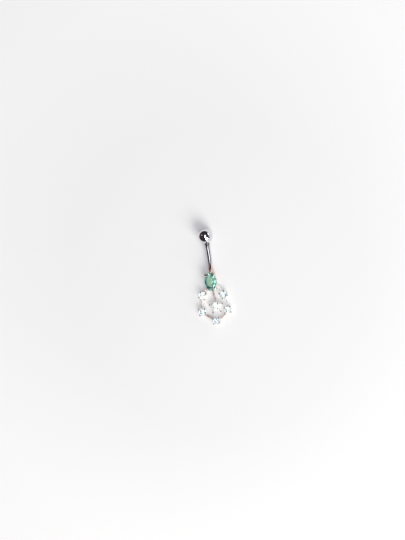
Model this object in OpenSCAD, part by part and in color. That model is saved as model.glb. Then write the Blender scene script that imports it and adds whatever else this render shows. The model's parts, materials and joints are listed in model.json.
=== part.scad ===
// Navel ring lying on its back: a steel ball screwed on a curved bar, and a soldered silver ornament
// with one oval stone above a pear-shaped wreath of round stones and a small star.
// Millimetres. +Y runs from the ornament to the ball, +Z is the way the stones face.

/* [Ball] */
// Diameter of the ball
ball_d = 4.76; // [4:0.02:6]
// Width of the flat on the ball that the bar's shoulder seats on
ball_flat_d = 2; // [1.8:0.1:2.4]
// Depth of the hole for the threaded post
ball_hole_depth = 2.6; // [2.4:0.1:3]

/* [Bar] */
// Thickness of the bar
bar_d = 1.6; // [1.4:0.1:1.8]
// Radius of the bend, to the bar's centre line
bar_bend_r = 15.1; // [13:0.1:17]
// Angle that each half of the bend turns through
bar_half_bend = 17; // [14:0.5:18]
// Thickness of the threaded post that holds the ball
post_d = 1.2; // [1:0.1:1.2]
// Length of the threaded post
post_len = 2.2; // [1.6:0.1:2.3]
// Thickness of the spigot that enters the ornament's collar
spigot_d = 0.8; // [0.6:0.1:0.9]
// Length of that spigot
spigot_len = 0.7; // [0.5:0.1:0.9]
// How far the bar stands to the right of the ornament's middle
bar_x = 0.4; // [0:0.1:0.6]

/* [Collar] */
// Outer width of the collar that holds the bar
collar_d = 1.36; // [1.2:0.02:1.5]
// Length of the collar from its mouth to the foot of the spigot's hole
collar_len = 0.9; // [0.8:0.1:1.2]

/* [Oval stone] */
// Length of the oval stone
oval_len = 6; // [5:0.1:7]
// Width of the oval stone
oval_w = 4; // [3.6:0.1:4.6]
// Height of its girdle above the surface
oval_girdle_z = 2.25; // [2.1:0.05:2.6]
// Height of its crown above the girdle
oval_crown = 0.62; // [0.5:0.02:0.8]
// Depth of its pavilion below the girdle
oval_pavilion = 1.65; // [1.5:0.05:1.8]
// Thickness of the oval setting's prongs
oval_prong_d = 0.6; // [0.5:0.05:0.7]
// Thickness of the oval setting's prong tips
oval_tip_d = 0.76; // [0.7:0.02:0.9]

/* [Round stones] */
// Diameter of each round stone
round_d = 2.5; // [2.2:0.1:2.8]
// Height of the wreath stones' girdles above the surface
round_girdle_z = 1.95; // [1.8:0.05:2.2]
// Height of the centre stone's girdle above the surface
centre_girdle_z = 1.6; // [1.5:0.05:1.8]
// Height of a round stone's crown above its girdle
round_crown = 0.4; // [0.3:0.02:0.5]
// Depth of a round stone's pavilion below its girdle
round_pavilion = 1.06; // [0.95:0.01:1.15]
// Thickness of the baskets' prongs
prong_d = 0.42; // [0.36:0.02:0.5]
// Thickness of the baskets' prong tips
tip_d = 0.52; // [0.46:0.02:0.6]

/* [Wreath] */
// Distance between the centres of the two lower side stones
lower_pair_w = 8.6; // [7.6:0.1:9.6]
// Height of those stones up the ornament from the bottom stone
lower_pair_y = 3.2; // [2.8:0.1:3.6]
// Distance between the centres of the two upper side stones
upper_pair_w = 7; // [6.4:0.1:7.8]
// Height of those stones up the ornament from the bottom stone
upper_pair_y = 8.4; // [7.8:0.1:9]
// Turn of the upper baskets, which follow the slanted wires
upper_pair_turn = 25; // [0:5:40]
// How far the upper left stone stands up from its pair's middle, and the right one down
upper_slant = 0.3; // [0:0.05:0.4]
// The same for the lower pair
lower_slant = 0.15; // [0:0.05:0.3]
// Height of the oval stone's centre up the ornament from the bottom stone
oval_y = 12.75; // [12.4:0.05:13.4]
// Thickness of the wire between the baskets
wire_d = 0.6; // [0.5:0.02:0.7]
// Height of the wire's centre above the surface
wire_z = 0.58; // [0.5:0.02:0.7]
// How far the wire runs outside the round stones' centres
wire_out = 0.5; // [0.2:0.1:0.7]

/* [Star] */
// Height of the star's centre up the ornament from the bottom stone
star_y = 4.7; // [4.5:0.1:4.9]
// How far the star hangs to the right of the ornament's middle
star_x = 0.3; // [0:0.1:0.5]
// Distance from the star's centre to its tips
star_tip_r = 2.5; // [2.2:0.05:2.6]
// Distance from the star's centre to the notches between its arms
star_notch_r = 1.2; // [1.1:0.05:1.3]
// Thickness of the star's plate
star_thick = 0.5; // [0.4:0.05:0.6]
// Height of the plate's upper face above the surface
star_top_z = 1.2; // [1.1:0.05:1.3]
// Width of the hole in the plate under the centre stone
star_hole_d = 1.7; // [1.5:0.1:1.8]
// Thickness of the stem between the star and the oval setting
stem_d = 0.54; // [0.46:0.02:0.6]

/* [Fits] */
// Gap between a stone and the metal that holds it
stone_gap = 0.03; // [0.02:0.01:0.05]
// Gap round the post and the spigot
shaft_gap = 0.05; // [0.03:0.01:0.08]
// Gap between a shoulder and what it seats on
seat_gap = 0.05; // [0.03:0.01:0.1]

/* [Hidden] */
$fn = 48;

steel = "#8f949c";
silver = "#d9dadd";
peridot = "#7fc4a0";
clear = "#dff1f2";

// Cut of every stone, as shares of its half width
table_share = 0.57;
star_facet_share = 0.8;
lower_facet_share = 0.28;
facets = 8;
girdle_thick = 0.06;

// Rings and bands of the settings
gallery_d = 0.44;
ring_foot_share = 0.74;
ring_top_share = 0.92;
ring_top_z = 1.12;
band_wall = 0.36;
band_h = 0.46;
band_foot_share = 0.72;
band_top_share = 0.89;
band_top_z = 1.0;
oval_prong_turn = 47;
foot_d = 0.6;
// How far the prongs' tips stand outside the girdle, and above it
tip_out = 0.02;
tip_rise = 0.19;
oval_tip_rise = 0.23;
// How far the collar's root reaches in over the oval stone's end
collar_bite = 0.05;

// Where the wire ends in the oval setting, as shares of the stone's half width and half length
wire_end_share = [0.6, 0.26];
// What the wire's ends stand off the surface, and reach into a pad
wire_lift = 0.03;
pad_d = 0.78;
pad_h = 0.66;
// How far the post and the spigot reach into the bar
shank_overlap = 0.3;
star_arms = 5;

ball_r = ball_d / 2;
bar_r = bar_d / 2;
round_r = round_d / 2;
wire_r = wire_d / 2;
oval_half = [oval_w / 2, oval_len / 2];

// The ball's flat is this far from its centre, and the bar's shoulder a gap further
flat_dist = sqrt(ball_r * ball_r - ball_flat_d * ball_flat_d / 4);
shoulder_dist = flat_dist + seat_gap;
// Both shoulders of the bar stand at this height, with the ball resting on the surface
shoulder_z = ball_r - shoulder_dist * sin(bar_half_bend);
// Half the distance between the shoulders, along Y
shoulder_half_y = bar_bend_r * sin(bar_half_bend);
bend_centre_z = shoulder_z + bar_bend_r * cos(bar_half_bend);

// Places along the ornament, counted from the bottom stone before the whole is centred
collar_root_y = oval_y + oval_half.y - collar_bite;
lower_shoulder_y = collar_root_y + (collar_len + seat_gap) * cos(bar_half_bend);
bar_mid_y = lower_shoulder_y + shoulder_half_y;
ball_y = bar_mid_y + shoulder_half_y + shoulder_dist * cos(bar_half_bend);
// A basket's upper ring is its widest part
basket_reach = ring_top_share * round_r + gallery_d / 2;
centre_y = (ball_y + ball_r - basket_reach) / 2;

// Wreath stones in order round the pear: place, and turn of the basket
SPOT_X = 0;
SPOT_Y = 1;
SPOT_TURN = 2;
spots = [
    [-upper_pair_w / 2, upper_pair_y + upper_slant, -upper_pair_turn],
    [upper_pair_w / 2, upper_pair_y - upper_slant, upper_pair_turn],
    [-lower_pair_w / 2, lower_pair_y + lower_slant, 0],
    [lower_pair_w / 2, lower_pair_y - lower_slant, 0],
    [0, 0, 0]
];
star_place = [star_x, star_y, 0];
// The wire runs round the pear through these stones, from the oval setting and back to it
wire_order = [0, 2, 4, 3, 1];

function spot_place(i) = [spots[i][SPOT_X], spots[i][SPOT_Y], 0];
function outward(p) = (p - star_place) / norm(p - star_place);
function wire_corner(i) = spot_place(i) + wire_out * outward(spot_place(i)) + [0, 0, wire_z];
function wire_end(side) =
    [side * wire_end_share.x * oval_half.x, oval_y - wire_end_share.y * oval_half.y, wire_r + wire_lift];
// A length of wire starts just inside the pad's side
function wire_start(pad, to) =
    pad + (to - pad) / norm(to - pad) * (sqrt(pad_d * pad_d - wire_d * wire_d) / 2 - wire_lift);
// A point on the collar's axis, this deep inside its mouth
function along_collar(depth) =
    [bar_x, lower_shoulder_y, shoulder_z] - (seat_gap + depth) * [0, cos(bar_half_bend), -sin(bar_half_bend)];
function circle_point(r, angle, z) = [r * cos(angle), r * sin(angle), z];
function oval_point(half, angle, z) = [half.x * cos(angle), half.y * sin(angle), z];

// Heights of the star and lower facets' corners that keep every facet flat, for a stone of half width 1
function crown_corner_h(crown) =
    crown * (1 - star_facet_share * cos(180 / facets)) / (1 - table_share);
function pavilion_corner_h(pavilion) =
    pavilion * (1 - lower_facet_share * cos(180 / facets));

// Rings of corners from the table down to the culet, each as share, height and turn
function cut_rings(crown, pavilion) = [
    [table_share, crown + girdle_thick / 2, 0],
    [star_facet_share, crown_corner_h(crown) + girdle_thick / 2, 0.5],
    [1, girdle_thick / 2, 0],
    [1, -girdle_thick / 2, 0],
    [lower_facet_share, -pavilion_corner_h(pavilion) - girdle_thick / 2, 0.5]
];
function ring_points(share, z, turn, count, half) = [
    for (i = [0 : count - 1]) oval_point(share * half, (i + turn) * 360 / count, z)
];

// A brilliant-cut stone with its girdle on z = 0
module cut_stone(half, crown, pavilion) {
    n = facets;
    rings = cut_rings(crown, pavilion);
    table = ring_points(rings[0][0], rings[0][1], rings[0][2], n, half);
    stars = ring_points(rings[1][0], rings[1][1], rings[1][2], n, half);
    upper = ring_points(rings[2][0], rings[2][1], rings[2][2], 2 * n, half);
    lower = ring_points(rings[3][0], rings[3][1], rings[3][2], 2 * n, half);
    mains = ring_points(rings[4][0], rings[4][1], rings[4][2], n, half);
    culet = [[0, 0, -pavilion - girdle_thick / 2]];
    s = n;
    u = 2 * n;
    l = 4 * n;
    m = 6 * n;
    c = 7 * n;
    faces = concat(
        [[for (i = [n - 1 : -1 : 0]) i]],
        [for (i = [0 : n - 1]) [i, (i + 1) % n, s + i]],
        [for (i = [0 : n - 1]) [i, s + i, u + 2 * i, s + (i + n - 1) % n]],
        [for (i = [0 : n - 1]) [s + i, u + 2 * i + 1, u + 2 * i]],
        [for (i = [0 : n - 1]) [s + i, u + (2 * i + 2) % (2 * n), u + 2 * i + 1]],
        [for (i = [0 : 2 * n - 1]) [u + i, u + (i + 1) % (2 * n), l + (i + 1) % (2 * n), l + i]],
        [for (i = [0 : n - 1]) [l + 2 * i, l + 2 * i + 1, m + i]],
        [for (i = [0 : n - 1]) [l + 2 * i + 1, l + (2 * i + 2) % (2 * n), m + i]],
        [for (i = [0 : n - 1]) [l + 2 * i, m + i, c, m + (i + n - 1) % n]]
    );
    polyhedron(points = concat(table, stars, upper, lower, mains, culet), faces = faces, convexity = 2);
}

// What the metal leaves free for a round stone: its outline turned about its axis, a gap larger
module round_seat() {
    r = round_r + stone_gap;
    h = girdle_thick / 2 + stone_gap;
    rotate_extrude()
        polygon([
            [0, h + round_crown],
            [table_share * r, h + round_crown],
            [r, h],
            [r, -h],
            [0, -h - round_pavilion]
        ]);
}

// What the metal leaves free for every stone and for the bar's spigot
module seats() {
    for (spot = spots)
        translate([spot[SPOT_X], spot[SPOT_Y], round_girdle_z])
            round_seat();
    translate(star_place + [0, 0, centre_girdle_z])
        round_seat();
    translate([0, oval_y, oval_girdle_z])
        cut_stone(oval_half + [stone_gap, stone_gap], oval_crown + stone_gap, oval_pavilion + stone_gap);
    rod(along_collar(spigot_len + seat_gap), along_collar(-seat_gap), spigot_d / 2 + shaft_gap);
}

// A straight round rod between two points
module rod(from, to, r) {
    v = to - from;
    translate(from)
        rotate([0, acos(v.z / norm(v)), atan2(v.y, v.x)])
            cylinder(h = norm(v), r = r);
}

module ring(r, z, d) {
    translate([0, 0, z])
        rotate_extrude()
            translate([r, 0])
                circle(d = d);
}

// A flat oval strip on edge, with the given outer half sizes
module oval_band(half, z) {
    translate([0, 0, z])
        linear_extrude(band_h)
            difference() {
                oval(half);
                oval(half - [band_wall, band_wall]);
            }
}

module oval(half) {
    polygon([for (angle = [0 : 360 / $fn : 359]) [half.x * cos(angle), half.y * sin(angle)]]);
}

// A four-prong basket that holds a round stone with its girdle at girdle_z
module basket(girdle_z) {
    foot_r = ring_foot_share * round_r;
    foot_z = gallery_d / 2;
    tip_z = girdle_z + tip_rise;
    ring(foot_r, foot_z, gallery_d);
    ring(ring_top_share * round_r, ring_top_z, gallery_d);
    for (quarter = [45 : 90 : 315]) {
        tip = circle_point(round_r + tip_out, quarter, tip_z);
        rod(circle_point(foot_r, quarter, foot_z), tip, prong_d / 2);
        translate(tip)
            sphere(d = tip_d);
    }
}

// The collar that holds the bar, with a foot down to the setting's lower band
module collar() {
    foot = [0, oval_y + band_foot_share * oval_half.y - band_wall / 2, band_h / 2];
    rod(along_collar(collar_len), along_collar(0), collar_d / 2);
    rod(foot, along_collar(collar_len), foot_d / 2);
}

// The oval stone's setting: two bands and four prongs
module oval_setting() {
    foot = band_foot_share * oval_half - [band_wall, band_wall] / 2;
    oval_band(band_foot_share * oval_half, 0);
    oval_band(band_top_share * oval_half, band_top_z);
    for (turn = [oval_prong_turn, 180 - oval_prong_turn, 180 + oval_prong_turn, -oval_prong_turn]) {
        tip = oval_point(oval_half, turn, oval_girdle_z + oval_tip_rise);
        rod(oval_point(foot, turn, band_h / 2), tip, oval_prong_d / 2);
        translate(tip)
            sphere(d = oval_tip_d);
    }
}

// The wire round the pear, with a solder pad where its lengths meet under each basket
module wreath_wire() {
    pads = [for (i = wire_order) wire_corner(i)];
    last = len(pads) - 1;
    for (i = [0 : last - 1])
        rod(wire_start(pads[i], pads[i + 1]), wire_start(pads[i + 1], pads[i]), wire_r);
    rod(wire_start(pads[0], wire_end(-1)), wire_end(-1), wire_r);
    rod(wire_start(pads[last], wire_end(1)), wire_end(1), wire_r);
    for (pad = pads)
        translate(pad - [0, 0, pad_h / 2])
            cylinder(h = pad_h, d = pad_d);
}

// The star round the centre stone, and the stem that hangs it from the oval setting
module star() {
    half_step = 180 / star_arms;
    tip = star_place + [0, star_tip_r, star_top_z - star_thick / 2];
    translate(star_place + [0, 0, star_top_z - star_thick])
        linear_extrude(star_thick)
            difference() {
                polygon([
                    for (i = [0 : 2 * star_arms - 1])
                        let (r = i % 2 == 0 ? star_tip_r : star_notch_r)
                            [r * cos(90 + i * half_step), r * sin(90 + i * half_step)]
                ]);
                circle(d = star_hole_d);
            }
    band_end = [0, oval_y - band_top_share * oval_half.y + band_wall / 2, band_top_z + band_h / 2];
    rod(tip - [0, stem_d, 0], band_end, stem_d / 2);
}

// Every sub-part below stands in the finished frame, centred over the surface
module placed() {
    translate([0, -centre_y, 0])
        children();
}

module at_upper_shoulder() {
    translate([bar_x, bar_mid_y + shoulder_half_y, shoulder_z])
        rotate([bar_half_bend - 90, 0, 0])
            children();
}

module at_lower_shoulder() {
    translate([bar_x, lower_shoulder_y, shoulder_z])
        rotate([90 - bar_half_bend, 0, 0])
            children();
}

module top_ball() {
    color(steel)
        placed()
            at_upper_shoulder()
                translate([0, 0, shoulder_dist])
                    difference() {
                        sphere(r = ball_r);
                        translate([0, 0, -ball_r - flat_dist])
                            cylinder(h = ball_r, r = ball_r);
                        translate([0, 0, -ball_r])
                            cylinder(h = ball_r - flat_dist + ball_hole_depth, d = post_d + 2 * shaft_gap);
                    }
}

module curved_bar() {
    color(steel)
        placed() {
            translate([bar_x, bar_mid_y, bend_centre_z])
                rotate([0, 90, 0])
                    rotate([0, 0, -bar_half_bend])
                        rotate_extrude(angle = 2 * bar_half_bend)
                            translate([bar_bend_r, 0])
                                circle(r = bar_r);
            at_upper_shoulder()
                translate([0, 0, -shank_overlap])
                    cylinder(h = shank_overlap + post_len, d = post_d);
            at_lower_shoulder()
                translate([0, 0, -shank_overlap])
                    cylinder(h = shank_overlap + spigot_len, d = spigot_d);
        }
}

module silver_frame() {
    color(silver)
        placed()
            difference() {
                union() {
                    wreath_wire();
                    for (spot = spots)
                        translate([spot[SPOT_X], spot[SPOT_Y], 0])
                            rotate([0, 0, spot[SPOT_TURN]])
                                basket(round_girdle_z);
                    translate(star_place)
                        basket(centre_girdle_z);
                    star();
                    translate([0, oval_y, 0])
                        oval_setting();
                    collar();
                }
                seats();
            }
}

module oval_stone() {
    color(peridot)
        placed()
            translate([0, oval_y, oval_girdle_z])
                cut_stone(oval_half, oval_crown, oval_pavilion);
}

module round_stone(i) {
    color(clear)
        placed()
            translate([spots[i][SPOT_X], spots[i][SPOT_Y], round_girdle_z])
                rotate([0, 0, spots[i][SPOT_TURN]])
                    cut_stone([round_r, round_r], round_crown, round_pavilion);
}

module centre_stone() {
    color(clear)
        placed()
            translate(star_place + [0, 0, centre_girdle_z])
                cut_stone([round_r, round_r], round_crown, round_pavilion);
}

top_ball();
curved_bar();
silver_frame();
oval_stone();
round_stone(0);  // round_stone_1
round_stone(1);  // round_stone_2
round_stone(2);  // round_stone_3
round_stone(3);  // round_stone_4
round_stone(4);  // round_stone_5
centre_stone();
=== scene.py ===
# %% [markdown]
# A navel ring lying on its back, made round a fixed frame of solids.
# The solids already say where every piece is and how large it is, so this script never moves them.
# What is left to do is the look: true threads, claws, solder, polish, cut stones, light and a camera.
# Everything below is measured from the frame, so each piece lands where its solid stands.

# %% Load the frame and keep its box
import json
import math
import random

import bmesh
import bpy
from mathutils import Matrix, Vector
from mathutils.kdtree import KDTree


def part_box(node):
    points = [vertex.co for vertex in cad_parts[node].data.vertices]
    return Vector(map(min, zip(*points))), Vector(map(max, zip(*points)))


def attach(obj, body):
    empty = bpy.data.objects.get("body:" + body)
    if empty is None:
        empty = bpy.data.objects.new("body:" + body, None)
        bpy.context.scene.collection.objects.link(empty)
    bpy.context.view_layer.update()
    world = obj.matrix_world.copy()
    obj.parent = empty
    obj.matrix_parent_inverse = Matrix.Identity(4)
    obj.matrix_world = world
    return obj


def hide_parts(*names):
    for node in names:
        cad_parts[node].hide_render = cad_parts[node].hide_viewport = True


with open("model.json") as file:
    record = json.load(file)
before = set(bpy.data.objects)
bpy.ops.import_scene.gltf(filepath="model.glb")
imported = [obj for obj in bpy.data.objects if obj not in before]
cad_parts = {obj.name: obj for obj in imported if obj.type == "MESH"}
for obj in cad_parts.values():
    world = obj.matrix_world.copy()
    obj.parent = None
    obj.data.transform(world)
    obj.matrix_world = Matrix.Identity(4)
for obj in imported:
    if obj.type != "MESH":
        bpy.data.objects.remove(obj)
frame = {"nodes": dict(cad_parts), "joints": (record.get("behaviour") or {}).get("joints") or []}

scene = bpy.context.scene
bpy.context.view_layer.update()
print("solids:", sorted(frame["nodes"]))

# %% [markdown]
# The pieces are only tenths of a millimetre thick, and a remesh works badly at such small numbers.
# So all metal is modelled in millimetres, and each finished mesh is scaled down to metres once.

# %% Measure the solids in millimetres
MM = 0.001
SAME_REACH = 0.001


def box_mm(node):
    """A solid's lowest and highest corner in millimetres."""
    low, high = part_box(node)
    return low / MM, high / MM


def girdle_of(node):
    """The middle of a stone's widest level, where its setting grips it, and its half width there."""
    low, high = box_mm(node)
    axis = (low + high) / 2
    corners = [v.co / MM for v in frame["nodes"][node].data.vertices]
    reach = {i: (c.xy - axis.xy).length for i, c in enumerate(corners)}
    widest = max(reach.values())
    levels = [corners[i].z for i in reach if reach[i] > widest - SAME_REACH]
    return Vector((axis.x, axis.y, (min(levels) + max(levels)) / 2)), widest


WREATH_STONES = [f"round_stone_{i}" for i in range(1, 6)]
ROUND_STONES = WREATH_STONES + ["centre_stone"]
girdles = {node: girdle_of(node) for node in ROUND_STONES + ["oval_stone"]}
for node, (centre, reach) in girdles.items():
    print(node, "girdle at", [round(x, 2) for x in centre], "half width", round(reach, 2))

# %% [markdown]
# The photograph was taken from well above, a little to the right, with the camera turned.
# A long lens at its true distance gives the same flattened view of the thing, and the same scale.
# The camera is aimed at a point beside the object, because the object isn't in the frame's middle.

# %% Camera
camera_lean = math.radians(18)
camera_turn = math.radians(8)
camera_distance = 0.413
aim = Vector((-2.41, 2.615, 1.5)) * MM

camera_back = Vector((math.sin(camera_lean), 0, math.cos(camera_lean)))
level_right = Vector((math.cos(camera_lean), 0, -math.sin(camera_lean)))
camera_up = math.cos(camera_turn) * Vector((0, 1, 0)) + math.sin(camera_turn) * level_right
camera_right = camera_up.cross(camera_back)

camera_data = bpy.data.cameras.new("camera")
camera_data.lens = 85
camera_data.sensor_width = 36
camera_data.clip_start = 0.01
camera_data.clip_end = 10
camera = bpy.data.objects.new("camera", camera_data)
scene.collection.objects.link(camera)
turn = Matrix((camera_right, camera_up, camera_back)).transposed().to_4x4()
camera.matrix_world = Matrix.Translation(aim + camera_distance * camera_back) @ turn
scene.camera = camera
print("camera stands at", [round(x, 3) for x in camera.location])

# %% [markdown]
# The surface is plain white paper. It is bright enough to look nearly white, and polished metal
# shows it as a pale rim. In the photograph it grows whiter towards the corners, so its tone is painted
# from a faint grey to white with the distance from the ring: painted light, not a change in the paper.

# %% Paper
paper_half = 0.3
grey_within = 50
white_beyond = 95
paper_grey = (0.93, 0.93, 0.935, 1)
paper_painted_light_white = (1.0, 1.0, 1.0, 1)
paper_mesh = bpy.data.meshes.new("paper")
corners = [(-paper_half, -paper_half, 0), (paper_half, -paper_half, 0),
           (paper_half, paper_half, 0), (-paper_half, paper_half, 0)]
paper_mesh.from_pydata(corners, [], [(0, 1, 2, 3)])
paper = bpy.data.objects.new("paper", paper_mesh)
scene.collection.objects.link(paper)

paper_finish = bpy.data.materials.new("white_paper")
paper_finish.use_nodes = True
paper_nodes = paper_finish.node_tree.nodes
paper_links = paper_finish.node_tree.links
paper_shader = paper_nodes["Principled BSDF"]
paper_shader.inputs["Roughness"].default_value = 0.7
paper_shader.inputs["Specular IOR Level"].default_value = 0.2
paper_place = paper_nodes.new("ShaderNodeTexCoord")
paper_reach = paper_nodes.new("ShaderNodeVectorMath")
paper_reach.operation = "LENGTH"
paper_links.new(paper_place.outputs["Object"], paper_reach.inputs[0])
# Painted light: the paper's colour brightens from grey to white away from the ring.
paper_painted_light_fade = paper_nodes.new("ShaderNodeMapRange")
paper_painted_light_fade.inputs["From Min"].default_value = grey_within * MM
paper_painted_light_fade.inputs["From Max"].default_value = white_beyond * MM
paper_links.new(paper_reach.outputs["Value"], paper_painted_light_fade.inputs["Value"])
paper_tone_with_painted_light = paper_nodes.new("ShaderNodeMix")
paper_tone_with_painted_light.data_type = "RGBA"
paper_tone_with_painted_light.inputs["A"].default_value = paper_grey
paper_tone_with_painted_light.inputs["B"].default_value = paper_painted_light_white
paper_links.new(paper_painted_light_fade.outputs["Result"], paper_tone_with_painted_light.inputs["Factor"])
paper_links.new(paper_tone_with_painted_light.outputs["Result"], paper_shader.inputs["Base Color"])
paper_mesh.materials.append(paper_finish)

# %% [markdown]
# Polished metal is a mirror, so what stands round it matters more than its own colour.
# The steel in the photograph mirrors a dim room, while soft light fills the shadows and the stones
# glitter. So the world shows each kind of ray another colour: to mirrors a dim room, to shadows a cool
# fill, and to rays that went through a stone the bright sky. Light that the paper has scattered before
# sees only a share of that sky, or else the stones would glow onto the paper.

# %% Room
scene.view_settings.view_transform = "Standard"
room = bpy.data.worlds.new("room")
room.use_nodes = True
scene.world = room
room_nodes = room.node_tree.nodes
room_links = room.node_tree.links
room_nodes.clear()
seen_by = room_nodes.new("ShaderNodeLightPath")


def walls(colour, strength):
    """An even colour all round."""
    side = room_nodes.new("ShaderNodeBackground")
    side.inputs["Color"].default_value = (*colour, 1)
    side.inputs["Strength"].default_value = strength
    return side.outputs["Background"]


def shown_to(share, colour, strength, others):
    """Shows a colour to one kind of ray, and to all others what was there before."""
    mix = room_nodes.new("ShaderNodeMixShader")
    room_links.new(share, mix.inputs["Fac"])
    room_links.new(others, mix.inputs[1])
    room_links.new(walls(colour, strength), mix.inputs[2])
    return mix.outputs["Shader"]


def room_maths(operation, a, b):
    """One step of arithmetic in the world's nodes, of a socket with a socket or a number."""
    node = room_nodes.new("ShaderNodeMath")
    node.operation = operation
    room_links.new(a, node.inputs[0])
    if isinstance(b, bpy.types.NodeSocket):
        room_links.new(b, node.inputs[1])
    else:
        node.inputs[1].default_value = b
    return node.outputs["Value"]


scattered_share = 0.6
below_one_bounce = 0.5
straight = room_maths("LESS_THAN", seen_by.outputs["Diffuse Depth"], below_one_bounce)
straight_share = room_maths("MULTIPLY", straight, 1 - scattered_share)
stone_share = room_maths("ADD", straight_share, scattered_share)
through_stone = room_maths("MULTIPLY", seen_by.outputs["Is Transmission Ray"], stone_share)
look = walls((0.90, 0.91, 1.0), 0.35)
look = shown_to(seen_by.outputs["Is Glossy Ray"], (0.95, 0.80, 1.0), 0.04, look)
look = shown_to(through_stone, (0.97, 1.0, 1.0), 1.25, look)
look = shown_to(seen_by.outputs["Is Camera Ray"], (0.95, 0.95, 0.96), 1.0, look)
room_out = room_nodes.new("ShaderNodeOutputWorld")
room_links.new(look, room_out.inputs["Surface"])

# %% [markdown]
# The ball shows what stood round it. A large window low in front, at the right, is the brightest lamp,
# and the shadows fall away from it. A narrow skylight lies along the bar and draws its long white line.
# A door and a pale wall make the lilac area at the ball's right side, and a small warm lamp its one
# orange spot. All stand over a metre away, so that the paper is lit evenly from edge to edge.

# %% Lamps
LAMP_DISTANCE = 1.2


def soft_box(name, direction, width, height, power, colour):
    """A rectangular lamp that faces the object from a direction. Sizes in metres, power in watts."""
    lamp = bpy.data.lights.new(name, "AREA")
    lamp.shape = "RECTANGLE"
    lamp.size = width
    lamp.size_y = height
    lamp.energy = power
    lamp.color = colour
    stand = bpy.data.objects.new(name, lamp)
    scene.collection.objects.link(stand)
    towards = Vector(direction).normalized()
    stand.location = towards * LAMP_DISTANCE
    stand.rotation_mode = "QUATERNION"
    stand.rotation_quaternion = towards.to_track_quat("Z", "Y")
    print(name, "stands at", [round(x, 2) for x in stand.location])


soft_box("window", (0.478, -0.709, 0.52), 0.80, 0.62, 13.0, (1.0, 0.99, 0.92))
soft_box("skylight", (0.26, -0.05, 0.96), 0.90, 0.46, 3.4, (1.0, 1.0, 1.0))
soft_box("door", (0.875, 0.408, 0.259), 0.50, 0.34, 0.70, (0.96, 0.95, 1.0))
soft_box("pale_wall", (0.94, 0.297, 0.165), 1.38, 0.36, 1.25, (0.92, 0.90, 1.0))
soft_box("warm_lamp", (-0.58, 0.37, 0.73), 0.20, 0.20, 0.30, (1.0, 0.6, 0.45))

# %% [markdown]
# Metal takes its look from what it mirrors, but a real polish is never perfect.
# Steel has fine hairlines from the buffing wheel and a few duller patches where fingers touched it.
# Both come from noise read in Object coordinates, one stretched long for hairlines, one wide for smudges.
# The bar was buffed crosswise, so its hairlines smear every reflection along its length.

# %% Helpers for finishes


def new_finish(name):
    """A material with its nodes, its links and its shader."""
    finish = bpy.data.materials.new(name)
    finish.use_nodes = True
    nodes = finish.node_tree.nodes
    return finish, nodes, finish.node_tree.links, nodes["Principled BSDF"]


def speckle(nodes, links, size, detail=2.0, stretch=(1, 1, 1)):
    """Noise with features about this many millimetres wide, read on the piece's own coordinates."""
    place = nodes.new("ShaderNodeTexCoord")
    mapping = nodes.new("ShaderNodeMapping")
    mapping.inputs["Scale"].default_value = [share / (size * MM) for share in stretch]
    noise = nodes.new("ShaderNodeTexNoise")
    noise.inputs["Scale"].default_value = 1.0
    noise.inputs["Detail"].default_value = detail
    links.new(place.outputs["Object"], mapping.inputs["Vector"])
    links.new(mapping.outputs["Vector"], noise.inputs["Vector"])
    return noise.outputs["Fac"]


def ranged(nodes, links, value, low, high, to_low, to_high):
    """A value stretched from one range to another and held there."""
    node = nodes.new("ShaderNodeMapRange")
    links.new(value, node.inputs["Value"])
    for socket, number in zip(("From Min", "From Max", "To Min", "To Max"), (low, high, to_low, to_high)):
        node.inputs[socket].default_value = number
    return node.outputs["Result"]


def graded(nodes, links, value, stops):
    """A colour ramp with (place, colour) stops."""
    ramp = nodes.new("ShaderNodeValToRGB")
    links.new(value, ramp.inputs["Fac"])
    elements = ramp.color_ramp.elements
    while len(elements) < len(stops):
        elements.new(0.5)
    for element, (place, colour) in zip(elements, stops):
        element.position = place
        element.color = (*colour, 1)
    return ramp.outputs["Color"]


def bumped(nodes, links, shader, height, depth):
    """Turns a height into bump, with its depth in millimetres."""
    bump = nodes.new("ShaderNodeBump")
    bump.inputs["Strength"].default_value = 1.0
    bump.inputs["Distance"].default_value = depth * MM
    links.new(height, bump.inputs["Height"])
    links.new(bump.outputs["Normal"], shader.inputs["Normal"])


# %% [markdown]
# The bar was soldered to the ornament, so the torch gave its lower end a faint brown heat tint.
# Just under the ball its top end is painted dark slate grey: painted shade and dark reflection of the ball,
# not a colour of the steel.
# Each tint runs from one place on y to another, in millimetres, and has its colours on the way.

# %% Two finishes of steel
smudge_size = 1.6
smudge_range = (0.35, 0.75)
smudge_contrast = 3
steel_colours = [(0.3, (0.80, 0.80, 0.83)), (0.7, (0.72, 0.71, 0.74))]
hairline_size = 0.05
heat_tint = ((4.0, 2.5), [(0.4, (0.78, 0.66, 0.58)), (1.0, (0.60, 0.43, 0.39))])
# This second tint is painted shade: the ball's shade and dark reflection, painted onto the bar's top end.
painted_shade_tint = ((9.4, 10.6), [(0.5, (0.50, 0.51, 0.55)), (1.0, (0.20, 0.22, 0.26))])


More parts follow.
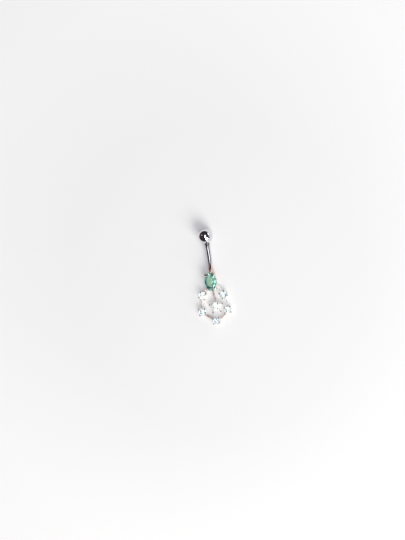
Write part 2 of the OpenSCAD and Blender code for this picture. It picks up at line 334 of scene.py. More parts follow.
def steel_finish(name, dullest, hairline_stretch, hairline_depth, tints):
    """Bright steel with duller smudges, hairlines the way it was buffed, and any tints along its length, a
    heat tint and painted shade among them.
    """
    finish, nodes, links, shader = new_finish(name)
    shader.inputs["Metallic"].default_value = 1.0
    smudges = speckle(nodes, links, smudge_size, detail=3.0)
    dullness = ranged(nodes, links, smudges, *smudge_range, dullest / smudge_contrast, dullest)
    links.new(dullness, shader.inputs["Roughness"])
    place = nodes.new("ShaderNodeTexCoord")
    parted = nodes.new("ShaderNodeSeparateXYZ")
    links.new(place.outputs["Object"], parted.inputs["Vector"])
    colour = graded(nodes, links, smudges, steel_colours)
    for (start, end), stops in tints:
        share = ranged(nodes, links, parted.outputs["Y"], start * MM, end * MM, 0.0, 1.0)
        tint = nodes.new("ShaderNodeMix")
        tint.data_type = "RGBA"
        links.new(share, tint.inputs["Factor"])
        links.new(colour, tint.inputs["A"])
        links.new(graded(nodes, links, share, stops), tint.inputs["B"])
        colour = tint.outputs["Result"]
    links.new(colour, shader.inputs["Base Color"])
    hairlines = speckle(nodes, links, hairline_size, stretch=hairline_stretch)
    bumped(nodes, links, shader, hairlines, hairline_depth)
    return finish


mirror_steel = steel_finish("mirror_steel", 0.1, (1, 0.08, 1), 0.0004, [])
# The buffed bar gets a heat tint at its lower end and painted shade under the ball.
buffed_steel = steel_finish("buffed_steel", 0.24, (0.1, 1, 0.1), 0.0025, [heat_tint, painted_shade_tint])
print("finishes:", mirror_steel.name, buffed_steel.name)

# %% [markdown]
# The ball and the threaded post are turned on a lathe, so each is one outline spun about the bar's axis.
# A spun outline alone can't hold a thread, because a thread climbs as it goes round.
# So each ring of points may be cut deeper by a groove that depends on the angle and the height together.
# The post and the ball's hole use the same groove, so their threads mesh at rest and a whole turn later.

# %% Read the bar's axis from the joint and the boxes


def upright_on(spot, axis):
    """Moves what was turned about z so that it stands on a spot, along an axis."""
    return Matrix.Translation(spot) @ Vector((0, 0, 1)).rotation_difference(axis).to_matrix().to_4x4()


slide = frame["joints"][0]
thread_axis = Vector(slide["axis"]).normalized()
bend_half = math.asin(thread_axis.z)
ball_low, ball_high = box_mm("top_ball")
bar_low, bar_high = box_mm("curved_bar")
ball_radius = (ball_high.x - ball_low.x) / 2
bar_radius = (bar_high.x - bar_low.x) / 2
ball_centre = Vector(((ball_low.x + ball_high.x) / 2, ball_high.y - ball_radius, ball_low.z + ball_radius))
flat_radius = 1.0
seat_gap = 0.05
flat_distance = math.sqrt(ball_radius**2 - flat_radius**2)
upper_shoulder = ball_centre - (flat_distance + seat_gap) * thread_axis
post_place = upright_on(upper_shoulder, thread_axis)
print("ball radius", round(ball_radius, 2), "bar radius", round(bar_radius, 2), "mm")

# %% A lathe that can cut threads
LATHE_STEPS = 96
ROWS_A_TURN = 8
MERGE_DISTANCE = 0.0005
SPECK = 0.0001
thread_pitch = 0.25
thread_depth = 0.1
thread_start = 0.12
thread_full = 0.3


def groove(angle, height):
    """How deep the thread is cut at an angle and a height above the shoulder."""
    turns = height / thread_pitch - angle / math.tau
    fade = min(1, max(0, (height - thread_start) / (thread_full - thread_start)))
    return fade * thread_depth * abs(2 * (turns % 1) - 1)


def turned(name, outline, threaded=()):
    """A closed solid spun about z from (radius, height) rows. The rows numbered in threaded are grooved."""
    points, faces = [], []
    for row, (radius, height) in enumerate(outline):
        for step in range(LATHE_STEPS):
            angle = step * math.tau / LATHE_STEPS
            cut = groove(angle, height) if row in threaded else 0
            points.append(((radius - cut) * math.cos(angle), (radius - cut) * math.sin(angle), height))
    for row in range(len(outline) - 1):
        for step in range(LATHE_STEPS):
            a, b = row * LATHE_STEPS + step, row * LATHE_STEPS + (step + 1) % LATHE_STEPS
            faces.append((a, b, b + LATHE_STEPS, a + LATHE_STEPS))
    mesh = bpy.data.meshes.new(name)
    mesh.from_pydata(points, [], faces)
    return closed(mesh)


def closed(mesh):
    """Merges doubles, such as a ring that has shrunk to the axis, and turns all faces outwards."""
    shell = bmesh.new()
    shell.from_mesh(mesh)
    bmesh.ops.remove_doubles(shell, verts=shell.verts, dist=MERGE_DISTANCE)
    bmesh.ops.dissolve_degenerate(shell, edges=shell.edges, dist=SPECK)
    bmesh.ops.recalc_face_normals(shell, faces=shell.faces)
    shell.to_mesh(mesh)
    shell.free()
    return mesh


def joined(name, meshes):
    """Several meshes as one."""
    whole = bmesh.new()
    for mesh in meshes:
        whole.from_mesh(mesh)
    mesh = bpy.data.meshes.new(name)
    whole.to_mesh(mesh)
    whole.free()
    return mesh


def placed(name, mesh, finish, body, node, crease=35):
    """Turns a mesh in millimetres into a finished piece that stands for a solid and moves with its body."""
    mesh.transform(Matrix.Scale(MM, 4))
    mesh.materials.clear()
    mesh.materials.append(finish)
    mesh.shade_smooth()
    mesh.set_sharp_from_angle(angle=math.radians(crease))
    piece = bpy.data.objects.new(name, mesh)
    scene.collection.objects.link(piece)
    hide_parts(node)
    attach(piece, body)
    mesh.calc_loop_triangles()
    print(name, "has", len(mesh.loop_triangles), "triangles")
    return piece


# %% [markdown]
# The ball rests its small flat on the bar's shoulder. The flat and the hole only show when it is unscrewed,
# but they are what makes it a screw-on ball and not a bead. The hole's mouth is countersunk, as drilled.

# %% Ball
hole_radius = 0.65
hole_depth = 2.6
countersink = 0.14
drill_cone_share = 0.3
edge_break = 0.03
SPHERE_ROWS = 64

mouth = seat_gap
hole_end = mouth + hole_depth
wall_rows = int(hole_depth / thread_pitch * ROWS_A_TURN)
wall_length = hole_depth - countersink
wall = [(hole_radius, hole_end - i * wall_length / wall_rows) for i in range(wall_rows + 1)]
first_angle = math.asin(flat_radius / ball_radius)
round_side = []
for i in range(SPHERE_ROWS + 1):
    angle = first_angle + i * (math.pi - first_angle) / SPHERE_ROWS
    height = mouth + flat_distance - ball_radius * math.cos(angle)
    round_side.append((ball_radius * math.sin(angle), height))
outline = [(0, hole_end + hole_radius * drill_cone_share)] + wall
outline += [(hole_radius + countersink, mouth), (flat_radius - edge_break, mouth)]
outline += [(flat_radius + edge_break / 2, mouth + edge_break)]
outline += round_side[1:-1] + [(0, round_side[-1][1])]
ball_mesh = turned("screw_ball", outline, range(2, wall_rows + 1))
ball_mesh.transform(post_place)
placed("screw_ball", ball_mesh, mirror_steel, "ball", "top_ball")

# %% [markdown]
# What repeats or follows a path is made by Geometry Nodes. Each kind of shape is a tree of its own, with
# the real sizes as its inputs. A tree runs once for each piece, and what it makes is kept as a plain mesh.

# %% Helpers for Geometry Nodes trees
ARC_STEPS = 240
BAR_SIDES = 64
WIRE_SIDES = 14
WIRE_POINTS = 24
CLAW_POINTS = 20
RING_STEPS = 72
OVAL_STEPS = 96
BEAD_ROUNDS = 3


def new_tree(name, sizes):
    """An empty tree with a named input for each size, and the outputs of its Group Input node."""
    tree = bpy.data.node_groups.new(name, "GeometryNodeTree")
    for label, kind in {"Geometry": "Geometry", **sizes, "Metal": "Material"}.items():
        tree.interface.new_socket(label, in_out="INPUT", socket_type="NodeSocket" + kind)
    tree.interface.new_socket("Mesh", in_out="OUTPUT", socket_type="NodeSocketGeometry")
    return tree, tree.nodes.new("NodeGroupInput").outputs


def put(tree, kind, inputs, **settings):
    """Adds a node, sets or links its inputs, and returns its first output."""
    node = tree.nodes.new(kind)
    for name, value in settings.items():
        setattr(node, name, value)
    for key, value in inputs.items():
        if isinstance(value, bpy.types.NodeSocket):
            tree.links.new(value, node.inputs[key])
        else:
            node.inputs[key].default_value = value
    return node.outputs[0]


def maths(tree, operation, a, b):
    """One step of arithmetic in a tree."""
    return put(tree, "ShaderNodeMath", {0: a, 1: b}, operation=operation)


def together(tree, *parts):
    """Joins several geometries."""
    node = tree.nodes.new("GeometryNodeJoinGeometry")
    for part in parts:
        tree.links.new(part, node.inputs[0])
    return node.outputs[0]


def swept(tree, path, radius, sides, scale=1.0):
    """A round rod of this radius along a curve, with closed ends."""
    circle = put(tree, "GeometryNodeCurvePrimitiveCircle", {"Resolution": sides, "Radius": radius})
    return put(tree, "GeometryNodeCurveToMesh",
               {"Curve": path, "Profile Curve": circle, "Scale": scale, "Fill Caps": True})


def end_tree(tree, geometry, metal):
    """Every tree ends in real geometry, not instances, with its material set."""
    real = put(tree, "GeometryNodeRealizeInstances", {"Geometry": geometry})
    painted = put(tree, "GeometryNodeSetMaterial", {"Geometry": real, "Material": metal})
    tree.links.new(painted, tree.nodes.new("NodeGroupOutput").inputs[0])


def grown(tree, sizes, metal, seed=None):
    """Runs a tree once with these sizes, over a seed mesh if it needs one, and returns a plain mesh."""
    host = bpy.data.objects.new(tree.name, seed or bpy.data.meshes.new("seed"))
    scene.collection.objects.link(host)
    modifier = host.modifiers.new(tree.name, "NODES")
    modifier.node_group = tree
    for item in tree.interface.items_tree:
        if item.name in sizes:
            modifier[item.identifier] = sizes[item.name]
        if item.name == "Metal":
            modifier[item.identifier] = metal
    graph = bpy.context.evaluated_depsgraph_get()
    mesh = bpy.data.meshes.new_from_object(host.evaluated_get(graph))
    bpy.data.objects.remove(host)
    return mesh


# %% [markdown]
# The bar is one round rod bent in an even arc. Its tree sweeps a circle along an Arc curve, and the
# circle shrinks a little at both ends, where the rod's edges are broken so that they don't scratch.

# %% Tree for the bent bar
bent_bar, s = new_tree("bent_bar", {
    "Bend radius": "Float", "Start angle": "Float", "Sweep angle": "Float",
    "Bar radius": "Float", "Edge break": "Float",
})
arc = put(bent_bar, "GeometryNodeCurveArc", {
    "Resolution": ARC_STEPS, "Radius": s["Bend radius"],
    "Start Angle": s["Start angle"], "Sweep Angle": s["Sweep angle"],
})
along = bent_bar.nodes.new("GeometryNodeSplineParameter").outputs["Length"]
whole_length = maths(bent_bar, "MULTIPLY", s["Bend radius"], s["Sweep angle"])
to_end = maths(bent_bar, "MINIMUM", along, maths(bent_bar, "SUBTRACT", whole_length, along))
shrunk = maths(bent_bar, "SUBTRACT", 1.0, maths(bent_bar, "DIVIDE", s["Edge break"], s["Bar radius"]))
ease = put(bent_bar, "ShaderNodeMapRange", {
    "Value": to_end, "From Min": 0.0, "From Max": s["Edge break"], "To Min": shrunk, "To Max": 1.0,
})
rod = swept(bent_bar, arc, s["Bar radius"], BAR_SIDES, ease)
end_tree(bent_bar, rod, s["Metal"])

# %% [markdown]
# The bend is measured from the solids: how far the bar's middle sags below its shoulder gives the radius.
# The threaded post and the plain spigot are turned, and both reach a little into the rod.

# %% Bar
post_radius = 0.6
post_length = 2.2
post_chamfer = 0.12
spigot_radius = 0.4
spigot_length = 0.7
inside_bar = 0.3
bar_edge = 0.09

sagitta = upper_shoulder.z - (bar_low.z + bar_radius)
bend_radius = sagitta / (1 - math.cos(bend_half))
bend_centre = upper_shoulder + bend_radius * Vector((0, -math.sin(bend_half), math.cos(bend_half)))
lower_shoulder = upper_shoulder - 2 * bend_radius * math.sin(bend_half) * Vector((0, 1, 0))
lower_axis = Vector((0, -thread_axis.y, thread_axis.z))
arc_mesh = grown(bent_bar, {
    "Bend radius": bend_radius, "Start angle": -math.pi / 2 - bend_half, "Sweep angle": 2 * bend_half,
    "Bar radius": bar_radius, "Edge break": bar_edge,
}, buffed_steel)
quarter_turn = math.pi / 2
bend_place = Matrix.Translation(bend_centre) @ Matrix.Rotation(quarter_turn, 4, "Z")
arc_mesh.transform(bend_place @ Matrix.Rotation(quarter_turn, 4, "X"))
arc_mesh = closed(arc_mesh)

post_rows = int(post_length / thread_pitch * ROWS_A_TURN)
thread_length = post_length - post_chamfer
post_outline = [(0, -inside_bar), (post_radius, -inside_bar)]
post_outline += [(post_radius, i * thread_length / post_rows) for i in range(post_rows + 1)]
post_outline += [(post_radius - post_chamfer, post_length), (0, post_length)]
post_mesh = turned("post", post_outline, range(2, post_rows + 3))
post_mesh.transform(post_place)

spigot_outline = [(0, -inside_bar), (spigot_radius, -inside_bar)]
spigot_outline += [(spigot_radius, spigot_length), (0, spigot_length)]
spigot_mesh = turned("spigot", spigot_outline)
spigot_place = upright_on(lower_shoulder, lower_axis)
spigot_mesh.transform(spigot_place)
bar_mesh = joined("bent_bar", [arc_mesh, post_mesh, spigot_mesh])
placed("bent_bar", bar_mesh, buffed_steel, "ring", "curved_bar")
print("bend radius", round(bend_radius, 2), "mm")

# %% [markdown]
# The ornament is soldered silver, put together from a few kinds of shape, most of which repeat: claws
# that hold a stone, rings that hold the claws, oval strips, straight wires, and a star sawn from plate.
# A claw is a short wire bent over the stone's edge, with a bead at its end where it was rounded off.

# %% Tree for a claw
claw_sizes = {
    "Foot": "Vector", "Foot handle": "Vector", "Tip handle": "Vector", "Tip": "Vector",
    "Thickness": "Float", "Tip size": "Float",
}
claw, s = new_tree("claw", claw_sizes)
claw_path = put(claw, "GeometryNodeCurvePrimitiveBezierSegment", {
    "Resolution": CLAW_POINTS, "Start": s["Foot"], "Start Handle": s["Foot handle"],
    "End Handle": s["Tip handle"], "End": s["Tip"],
})
claw_rod = swept(claw, claw_path, maths(claw, "MULTIPLY", s["Thickness"], 0.5), WIRE_SIDES)
claw_bead = put(claw, "GeometryNodeMeshIcoSphere",
                {"Radius": maths(claw, "MULTIPLY", s["Tip size"], 0.5), "Subdivisions": BEAD_ROUNDS})
claw_bead = put(claw, "GeometryNodeTransform", {"Geometry": claw_bead, "Translation": s["Tip"]})
end_tree(claw, together(claw, claw_rod, claw_bead), s["Metal"])

# %% [markdown]
# A round stone sits in a basket: two rings, one above the other, and four claws round them.
# The basket tree holds the claw tree as a group and copies it round the axis, turned by its own index.

# %% Tree for a basket
basket, s = new_tree("basket", {
    **claw_sizes, "Claws": "Int", "First claw": "Float", "Ring thickness": "Float",
    "Lower ring": "Float", "Lower level": "Float", "Upper ring": "Float", "Upper level": "Float",
})
one_claw = basket.nodes.new("GeometryNodeGroup")
one_claw.node_tree = claw
for label in [*claw_sizes, "Metal"]:
    basket.links.new(s[label], one_claw.inputs[label])
claw_spots = put(basket, "GeometryNodeMeshCircle", {"Vertices": s["Claws"], "Radius": 0.0})
claw_number = put(basket, "GeometryNodeInputIndex", {})
claw_step = maths(basket, "DIVIDE", math.tau, s["Claws"])
claw_angle = maths(basket, "ADD", maths(basket, "MULTIPLY", claw_number, claw_step), s["First claw"])
claw_turn = put(basket, "FunctionNodeAxisAngleToRotation", {"Axis": (0, 0, 1), "Angle": claw_angle})
claws = put(basket, "GeometryNodeInstanceOnPoints",
            {"Points": claw_spots, "Instance": one_claw.outputs[0], "Rotation": claw_turn})
ring_half = maths(basket, "MULTIPLY", s["Ring thickness"], 0.5)
rings = []
for label in ("Lower", "Upper"):
    loop = put(basket, "GeometryNodeCurvePrimitiveCircle",
               {"Resolution": RING_STEPS, "Radius": s[label + " ring"]})
    level = put(basket, "ShaderNodeCombineXYZ", {"Z": s[label + " level"]})
    loop = put(basket, "GeometryNodeTransform", {"Geometry": loop, "Translation": level})
    rings.append(swept(basket, loop, ring_half, WIRE_SIDES))
end_tree(basket, together(basket, claws, *rings), s["Metal"])

# %% [markdown]
# The wreath is straight lengths of round wire, and each joint is a blob of silver solder. The tree sweeps
# a circle along a seed of loose edges and sets a blob on each of the seed's points. It gives the wire many
# points along its way, because how polished and how brown the metal is gets stored point by point.

# %% Tree for a soldered wire
wire, s = new_tree("soldered_wire", {"Thickness": "Float", "Solder size": "Float"})
wire_path = put(wire, "GeometryNodeMeshToCurve", {"Mesh": s["Geometry"]})
wire_path = put(wire, "GeometryNodeResampleCurve", {"Curve": wire_path, "Count": WIRE_POINTS})
wire_rod = swept(wire, wire_path, maths(wire, "MULTIPLY", s["Thickness"], 0.5), WIRE_SIDES)
blob = put(wire, "GeometryNodeMeshIcoSphere",
           {"Radius": maths(wire, "MULTIPLY", s["Solder size"], 0.5), "Subdivisions": BEAD_ROUNDS})
blobs = put(wire, "GeometryNodeInstanceOnPoints", {"Points": s["Geometry"], "Instance": blob})
end_tree(wire, together(wire, wire_rod, blobs), s["Metal"])

# %% [markdown]
# The oval setting is two strips of flat silver bent round on edge, one over the other. The tree stretches
# a circle into the oval and sweeps the strip's section along it.

# %% Tree for an oval strip on edge
strip, s = new_tree("oval_strip", {
    "Half width": "Float", "Half length": "Float", "Wall": "Float", "Height": "Float", "Level": "Float",
})
oval = put(strip, "GeometryNodeCurvePrimitiveCircle", {"Resolution": OVAL_STEPS, "Radius": 1.0})
oval_size = put(strip, "ShaderNodeCombineXYZ", {"X": s["Half width"], "Y": s["Half length"], "Z": 1.0})
oval_level = put(strip, "ShaderNodeCombineXYZ", {"Z": s["Level"]})
oval = put(strip, "GeometryNodeTransform",
           {"Geometry": oval, "Translation": oval_level, "Scale": oval_size})
section = put(strip, "GeometryNodeCurvePrimitiveQuadrilateral",
              {"Width": s["Wall"], "Height": s["Height"]})
band = put(strip, "GeometryNodeCurveToMesh", {"Curve": oval, "Profile Curve": section})
end_tree(strip, band, s["Metal"])
print("trees:", sorted(tree.name for tree in bpy.data.node_groups))

# %% [markdown]
# Silver that was soldered and then pickled in acid has a matt white skin, and the torch leaves brown oxide
# near the joints. The claws' tips and the star's grains are rubbed to a mirror, and their colour is painted
# dark grey beside it: painted darkness for the dim room that a mirror shows.
# So every point of the piece gets two numbers, how polished and how brown it is, and noise breaks up both.
# Each row below says from what and to what a number runs, and which numbers the shader makes of that.

# %% Pickled silver
patch_size = 1.2
pit_size = 0.2
pit_depth = 0.005
patches_to_wear = (0.35, 0.5, 0.8, 1.0)
patches_to_brown = (0.38, 0.6, 0.35, 1.0)
worn_to_painted_dark_mirror = (0.7, 1.0, 0.0, 1.0)
worn_to_metallic = (0.0, 0.8, 0.25, 1.0)
worn_to_roughness = (0.0, 1.0, 0.45, 0.10)
skin_colours = [(0.0, (0.97, 0.965, 0.96)), (0.5, (0.80, 0.64, 0.56)), (1.0, (0.42, 0.26, 0.20))]
# Polished silver gets this dark grey as its colour: painted darkness of the dim room that it mirrors.
painted_dark_mirror_colour = (0.42, 0.40, 0.42, 1)

silver, nodes, links, shader = new_finish("pickled_silver")
patches = speckle(nodes, links, patch_size)


def stored(name):
    """A number that the mesh keeps for each of its points."""
    node = nodes.new("ShaderNodeAttribute")
    node.attribute_name = name
    return node.outputs["Fac"]


def times(a, b):
    """Two masks multiplied."""
    node = nodes.new("ShaderNodeMath")
    node.operation = "MULTIPLY"
    links.new(a, node.inputs[0])
    links.new(b, node.inputs[1])
    return node.outputs["Value"]


worn = times(stored("polish"), ranged(nodes, links, patches, *patches_to_wear))
brown = times(stored("oxide"), ranged(nodes, links, patches, *patches_to_brown))
# The mix paints polished places dark grey over the skin: painted darkness of a mirror.
skin = nodes.new("ShaderNodeMix")
skin.data_type = "RGBA"
links.new(ranged(nodes, links, worn, *worn_to_painted_dark_mirror), skin.inputs["Factor"])
links.new(graded(nodes, links, brown, skin_colours), skin.inputs["A"])
skin.inputs["B"].default_value = painted_dark_mirror_colour
links.new(skin.outputs["Result"], shader.inputs["Base Color"])
links.new(ranged(nodes, links, worn, *worn_to_metallic), shader.inputs["Metallic"])
links.new(ranged(nodes, links, worn, *worn_to_roughness), shader.inputs["Roughness"])
bumped(nodes, links, shader, speckle(nodes, links, pit_size, detail=3.0), pit_depth)
print("finish:", silver.name)

# %% [markdown]
# Each basket is placed on its own stone, read from the frame. The claws start on the lower ring, swell out
# past the girdle and bend in over the crown, so their curve is set by the girdle's radius and height.
# The two upper baskets are turned, because they follow the slant of the wire.

# %% Baskets
ring_thickness = 0.44
lower_ring_share = 0.74
upper_ring_share = 0.92
upper_ring_level = 1.12
claw_thickness = 0.42
claw_tip_size = 0.5
claw_belly_out = 0.42
claw_over = 0.1
claw_rise = 0.3
low_handle_out = 0.4
low_handle_up = 0.5
high_handle_out = 1.15
basket_claws = 4
upper_pair_turn = {"round_stone_1": -25, "round_stone_2": 25}
polished_from = 1.5
polished_at = 2.1
metal = []


def claw_curve(foot_out, foot_up, girdle_out, girdle_up, belly_out, over, rise):
    """A claw's four points, as distances out and up: past the girdle, then in over the stone."""
    return {
        "Foot": (foot_out, 0, foot_up),
        "Foot handle": (girdle_out + belly_out * low_handle_out, 0, girdle_up * low_handle_up),
        "Tip handle": (girdle_out + belly_out * high_handle_out, 0, girdle_up + rise),
        "Tip": (girdle_out - over, 0, girdle_up + rise),
    }


def add_metal(mesh, polish, oxide, tip_polish=None):
    """Adds a mesh to the heap, with how polished and how brown it is, and how polished its tips are."""
    if tip_polish is None:
        tip_polish = polish
    span = polished_at - polished_from
    levels = [min(1, max(0, (v.co.z - polished_from) / span)) for v in mesh.vertices]
    metal.append((mesh, [(polish + level * (tip_polish - polish), oxide) for level in levels]))


for node in ROUND_STONES:
    centre, reach = girdles[node]
    lower_ring = lower_ring_share * reach
    lower_level = ring_thickness / 2
    sizes = claw_curve(lower_ring, lower_level, reach, centre.z, claw_belly_out, claw_over, claw_rise)
    sizes |= {
        "Thickness": claw_thickness, "Tip size": claw_tip_size,
        "Claws": basket_claws, "First claw": math.pi / basket_claws,
        "Ring thickness": ring_thickness, "Lower ring": lower_ring, "Lower level": lower_level,
        "Upper ring": upper_ring_share * reach, "Upper level": upper_ring_level,
    }
    mesh = grown(basket, sizes, silver)
    turned_by = Matrix.Rotation(math.radians(upper_pair_turn.get(node, 0)), 4, "Z")
    mesh.transform(Matrix.Translation((centre.x, centre.y, 0)) @ turned_by)
    add_metal(mesh, polish=0.2, oxide=0.1, tip_polish=1.0)
print("baskets:", len(metal))

# %% [markdown]
# The oval stone sits in two strips, with four heavier claws. The claws beside the bar took the most heat,
# so they are the brownest. Each claw's row starts with its angle in degrees and says how polished the claw
# is low down, how brown it is, and how far it swells out past the stone.

# %% Oval setting
strip_wall = 0.36
strip_height = 0.46
lower_strip_share = 0.72
upper_strip_share = 0.89
upper_strip_level = 1.0
oval_claws = {47: (0.6, 1.0, 0.6), 133: (0.35, 0.8, 0.85), 227: (0.35, 0.5, 0.6), 313: (0.2, 0.3, 0.7)}
oval_claw_thickness = 0.6
oval_claw_tip_size = 0.76
oval_claw_over = 0.12
oval_claw_rise = 0.34
oval_tip_polish = 0.9

oval_centre, _ = girdles["oval_stone"]
oval_low, oval_high = box_mm("oval_stone")
oval_half = (oval_high - oval_low) / 2


def on_oval(share, inset, degrees):
    """A point on the stone's outline made smaller by a share and an inset."""
    angle = math.radians(degrees)
    across, along = share * oval_half.x - inset, share * oval_half.y - inset
    return Vector((across * math.cos(angle), along * math.sin(angle), 0))


under_oval = Matrix.Translation((oval_centre.x, oval_centre.y, 0))
for share, level in ((lower_strip_share, 0), (upper_strip_share, upper_strip_level)):
    mesh = grown(strip, {
        "Half width": share * oval_half.x - strip_wall / 2,
        "Half length": share * oval_half.y - strip_wall / 2,
        "Wall": strip_wall, "Height": strip_height, "Level": level + strip_height / 2,
    }, silver)
    mesh.transform(under_oval)
    add_metal(mesh, polish=0.35, oxide=0.5)
for degrees, (polish, oxide, belly) in oval_claws.items():
    foot_out = on_oval(lower_strip_share, strip_wall / 2, degrees).length
    edge = on_oval(1, 0, degrees)
    sizes = claw_curve(foot_out, oval_claw_thickness / 2, edge.length, oval_centre.z,
                       belly, oval_claw_over, oval_claw_rise)
    sizes |= {"Thickness": oval_claw_thickness, "Tip size": oval_claw_tip_size}
    mesh = grown(claw, sizes, silver)
    mesh.transform(under_oval @ Matrix.Rotation(math.atan2(edge.y, edge.x), 4, "Z"))
    add_metal(mesh, polish, oxide, oval_tip_polish)

# %% [markdown]
# The wire runs from the oval setting down the left stones, round the lowest one and up the right ones.
# It passes a little outside the middle of each basket, and both its ends die low into the setting.
# Each length has a row that says how polished and how brown it is, in that order. The two lowest lengths
# are the brownest, as in the photograph.

# %% Wires round the pear
wire_thickness = 0.6
wire_level = 0.58
wire_out = 0.5
solder_size = 0.84
wire_end_level = 0.44
wire_end_across = 0.6
wire_end_down = 0.26
wire_order = ["round_stone_1", "round_stone_3", "round_stone_5", "round_stone_4", "round_stone_2"]
star_centre, _ = girdles["centre_stone"]


def line(points):
    """A mesh of loose edges from point to point, as a seed for the wire tree."""
    mesh = bpy.data.meshes.new("line")
    mesh.from_pydata([tuple(p) for p in points], [(i, i + 1) for i in range(len(points) - 1)], [])
    return mesh


def wire_end(side):
    """Where the wire dies into the oval setting, low beside the stone."""
    across = oval_centre.x + side * wire_end_across * oval_half.x
    return Vector((across, oval_centre.y - wire_end_down * oval_half.y, wire_end_level))


wire_finish = [(0.1, 0.35), (0.0, 0.2), (0.35, 0.95), (0.35, 0.75), (0.0, 0.0), (0.0, 0.0)]
bends = []
for node in wire_order:
    spot = girdles[node][0].xy
    away = (spot - star_centre.xy).normalized()
    bends.append(Vector((*(spot + wire_out * away), wire_level)))
loop_points = [wire_end(-1), *bends, wire_end(1)]
wire_sizes = {"Thickness": wire_thickness, "Solder size": solder_size}
for start, end, (polish, oxide) in zip(loop_points, loop_points[1:], wire_finish):
    add_metal(grown(wire, wire_sizes, silver, line([start, end])), polish, oxide)

# %% [markdown]
# The star is the only metal with flat faces: each arm has a ridge from its tip to the stone's hole, with a
# valley on both sides. That is four rings of points, in and out, joined by faces. A polished grain of
# silver sits on each tip, painted dark grey as all polished silver here is, and the grains read as dark
# dots in the photograph.

# %% Star and its stem
star_arms = 5
star_tip = 2.5
star_notch = 1.2
star_hole = 0.85
star_base = 0.7
star_rim = 0.98
star_valley = 1.06
star_ridge = 1.24
star_cuts = 8
grain_size = 0.56
grain_inset = 0.2
stem_thickness = 0.54


def star_point(half_steps, reach, level):
    """A point some half steps round from the star's first arm, which points to +y."""
    angle = math.pi / 2 + half_steps * math.pi / star_arms
    return star_centre.x + reach * math.cos(angle), star_centre.y + reach * math.sin(angle), level


def star_ring(tip, notch, tip_level, notch_level):
    """Points round the star, by turns on an arm and between two arms."""
    rows = [(notch, notch_level) if i % 2 else (tip, tip_level) for i in range(2 * star_arms)]
    return [star_point(i, *row) for i, row in enumerate(rows)]


star_rings = [
    star_ring(star_tip, star_notch, star_base, star_base),
    star_ring(star_tip, star_notch, star_rim, star_rim),
    star_ring(star_hole, star_hole, star_ridge, star_valley),
    star_ring(star_hole, star_hole, star_base, star_base),
]
around = 2 * star_arms
star_faces = []
for ring in range(len(star_rings)):
    following = (ring + 1) % len(star_rings)
    for i in range(around):
        j = (i + 1) % around
        a, b = ring * around, following * around
        star_faces.append((a + i, a + j, b + j, b + i))
star_mesh = bpy.data.meshes.new("star")
star_mesh.from_pydata([point for ring in star_rings for point in ring], [], star_faces)
star_skin = bmesh.new()
star_skin.from_mesh(closed(star_mesh))
bmesh.ops.subdivide_edges(star_skin, edges=star_skin.edges, cuts=star_cuts, use_grid_fill=True)
star_skin.to_mesh(star_mesh)
star_skin.free()
add_metal(star_mesh, polish=0.25, oxide=0.0)

grains = bmesh.new()
for i in range(star_arms):
    spot = star_point(2 * i, star_tip - grain_inset, star_rim)
    bmesh.ops.create_icosphere(grains, subdivisions=BEAD_ROUNDS, radius=grain_size / 2,
                               matrix=Matrix.Translation(spot))
grain_mesh = bpy.data.meshes.new("grains")
grains.to_mesh(grain_mesh)
grains.free()
# Full polish also paints the grains dark grey: painted darkness of a mirror.
add_metal(grain_mesh, polish=1.0, oxide=0.0)

stem_foot = Vector((star_centre.x, star_centre.y + star_tip - stem_thickness, (star_base + star_rim) / 2))
stem_head = Vector((oval_centre.x, oval_centre.y - upper_strip_share * oval_half.y + strip_wall / 2,
                    upper_strip_level + strip_height / 2))
stem_sizes = {"Thickness": stem_thickness, "Solder size": stem_thickness}
add_metal(grown(wire, stem_sizes, silver, line([stem_foot, stem_head])), polish=0.75, oxide=0.7)

# %% [markdown]
# The bar's spigot is held in a short collar, and a stout wire joins the collar to the oval setting.
# Here the torch was hottest, so both are brown.

# %% Collar
collar_radius = 0.68
collar_length = 0.9
collar_edge = 0.08
foot_thickness = 0.6

collar_outline = [
    (0, seat_gap), (collar_radius - collar_edge, seat_gap), (collar_radius, seat_gap + collar_edge),
    (collar_radius, seat_gap + collar_length), (0, seat_gap + collar_length),
]
collar_mesh = turned("collar", collar_outline)
collar_mesh.transform(spigot_place)
add_metal(collar_mesh, polish=0.6, oxide=0.75)
collar_root = lower_shoulder + (seat_gap + collar_length) * lower_axis
strip_middle = oval_centre.y + lower_strip_share * oval_half.y - strip_wall / 2
collar_foot = Vector((oval_centre.x, strip_middle, foot_thickness / 2))
foot_sizes = {"Thickness": foot_thickness, "Solder size": foot_thickness}
add_metal(grown(wire, foot_sizes, silver, line([collar_foot, collar_root])), polish=0.5, oxide=1.0)
print("pieces of metal to solder:", len(metal))

# %% [markdown]
# Real solder flows into every inner corner. A voxel remesh does the same thing to a heap of overlapping
# meshes: it keeps the closed skin of the whole heap, and a little smoothing rounds the joints. A gap that
# the meshes enclose keeps a skin of its own, hidden in the metal. The voxels are fine enough to keep the
# claws round. The new skin has new points, so each of them takes its two numbers from the points of the
# old meshes that lie nearest to it.

# %% Solder the ornament into one body
voxel = 0.066
smoothing = 0.5
smoothing_rounds = 6
points_asked = 3

heap = bpy.data.objects.new("heap", joined("heap", [mesh for mesh, _ in metal]))
scene.collection.objects.link(heap)
melt = heap.modifiers.new("melt", "REMESH")
melt.mode = "VOXEL"
melt.voxel_size = voxel
flow = heap.modifiers.new("flow", "SMOOTH")
flow.factor = smoothing
flow.iterations = smoothing_rounds
graph = bpy.context.evaluated_depsgraph_get()
ornament_mesh = bpy.data.meshes.new_from_object(heap.evaluated_get(graph))
bpy.data.objects.remove(heap)
ornament_mesh.name = "soldered_ornament"

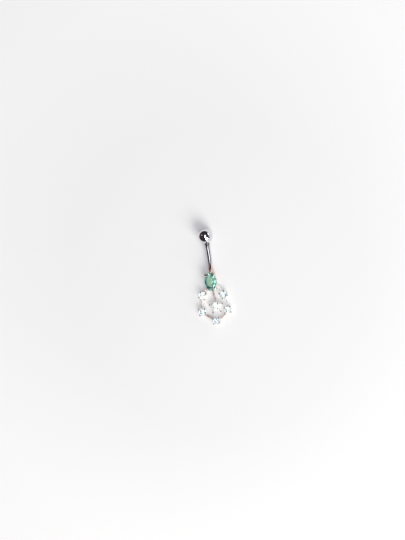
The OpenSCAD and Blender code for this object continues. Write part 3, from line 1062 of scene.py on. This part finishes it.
known = [(v.co, numbers) for mesh, rows in metal for v, numbers in zip(mesh.vertices, rows)]
lookup = KDTree(len(known))
for i, (spot, _) in enumerate(known):
    lookup.insert(spot, i)
lookup.balance()
nearest = []
for vertex in ornament_mesh.vertices:
    nearest.append([known[index][1] for _, index, _ in lookup.find_n(vertex.co, points_asked)])
for column, name in enumerate(("polish", "oxide")):
    layer = ornament_mesh.attributes.new(name, "FLOAT", "POINT")
    values = [sum(near[column] for near in found) / len(found) for found in nearest]
    layer.data.foreach_set("value", values)
placed("soldered_ornament", ornament_mesh, silver, "ring", "silver_frame", crease=180)

# %% [markdown]
# A cut stone shows a mosaic of light and dark patches, because each facet sends the eye somewhere else.
# The solids are cut right already, but as loose triangles. Here a copy is merged into whole facets,
# and each facet gets a number of its own, which the finish turns into a tint: the stone's own colour
# with painted light and shade on top. The table is painted lightest. The crown's numbers follow the way
# that a facet faces, in eight directions from +x round to the left, so some sides are painted darker as
# shade, and part of each is drawn from a fixed seed. Clear stones let a lamp's light through to the paper.
# The renderer doesn't follow it through them and would draw black shadows, so the clear stones cast none.

# %% Cut stones
chance = random.Random(11)
facet_gap = 0.001
level_normal = 0.99
pavilion_share = 0.4
clear_spread = 0.5
green_spread = 0.4
# These tones paint some sides of each crown darker by the way a facet faces: painted shade. The depths say
# how dark it goes.
clear_painted_side_shade = [1.0, 0.8, 0.5, 0.3, 0.2, 0.3, 0.5, 0.9]
green_painted_side_shade = [0.75, 0.15, 0.0, 0.3, 1.05, 0.75, 0.0, 0.5]
clear_painted_shade_depths = [0.8, 1.05, 0.95, 0.95, 1.1, 0.65]
# The tints hold each stone's own colour, and at their dark end painted shade and dark reflections.
clear_tints_and_painted_shade = [
    (0.0, (0.94, 0.985, 0.975)), (0.5, (0.91, 0.97, 0.96)), (0.6, (0.78, 0.90, 0.92)),
    (0.75, (0.10, 0.17, 0.24)),
]
green_tints_and_painted_shade = [
    (0.0, (0.86, 0.98, 0.68)), (0.06, (0.80, 1.0, 0.95)), (0.3, (0.48, 0.93, 0.85)),
    (0.5, (0.16, 0.63, 0.61)), (0.75, (0.010, 0.045, 0.05)),
]


def facet_tone_and_painted_shade(normal, painted_side_shades, spread, depth):
    """A facet's tint number, with painted light and shade: 0 for the table, painted lightest, a low number
    for the pavilion, and for the crown painted shade by the way that it faces.
    """
    if normal.z > level_normal:
        return 0
    if normal.z < 0:
        return pavilion_share * chance.random()
    sector = round(math.atan2(normal.y, normal.x) * len(painted_side_shades) / math.tau) % len(painted_side_shades)
    return depth * ((1 - spread) * painted_side_shades[sector] + spread * chance.random())


def faceted(node, finish, painted_side_shades, spread, depth=1.0):
    """A stone made of whole facets, which stands for the node's solid. Depth stretches its numbers, and so
    how dark its painted shade goes.
    """
    mesh = frame["nodes"][node].data.copy()
    shell = bmesh.new()
    shell.from_mesh(mesh)
    bmesh.ops.remove_doubles(shell, verts=shell.verts, dist=facet_gap * MM)
    bmesh.ops.dissolve_limit(shell, angle_limit=math.radians(1), verts=shell.verts, edges=shell.edges)
    bmesh.ops.recalc_face_normals(shell, faces=shell.faces)
    number = shell.faces.layers.float.new("facet")
    for face in shell.faces:
        face[number] = facet_tone_and_painted_shade(face.normal, painted_side_shades, spread, depth)
    shell.to_mesh(mesh)
    shell.free()
    mesh.materials.clear()
    mesh.materials.append(finish)
    stone = bpy.data.objects.new("cut_" + node, mesh)
    scene.collection.objects.link(stone)
    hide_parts(node)
    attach(stone, "ring")
    print(stone.name, "has", len(mesh.polygons), "facets")
    return stone


def polished_stone(name, tints, ior, haze):
    """A clear stone tinted facet by facet, with its own colour and painted light and shade. Haze is the
    share of the light that it scatters.
    """
    finish, nodes, links, shader = new_finish(name)
    shader.inputs["Roughness"].default_value = 0.0
    shader.inputs["IOR"].default_value = ior
    shader.inputs["Transmission Weight"].default_value = 1.0 - haze
    number = nodes.new("ShaderNodeAttribute")
    number.attribute_name = "facet"
    links.new(graded(nodes, links, number.outputs["Fac"], tints), shader.inputs["Base Color"])
    return finish


clear_stone = polished_stone("cut_clear_stone", clear_tints_and_painted_shade, ior=2.1, haze=0.12)
green_stone = polished_stone("cut_green_stone", green_tints_and_painted_shade, ior=1.76, haze=0.15)
for node, depth in zip(ROUND_STONES, clear_painted_shade_depths):
    stone = faceted(node, clear_stone, clear_painted_side_shade, clear_spread, depth)
    stone.visible_shadow = False
faceted("oval_stone", green_stone, green_painted_side_shade, green_spread)
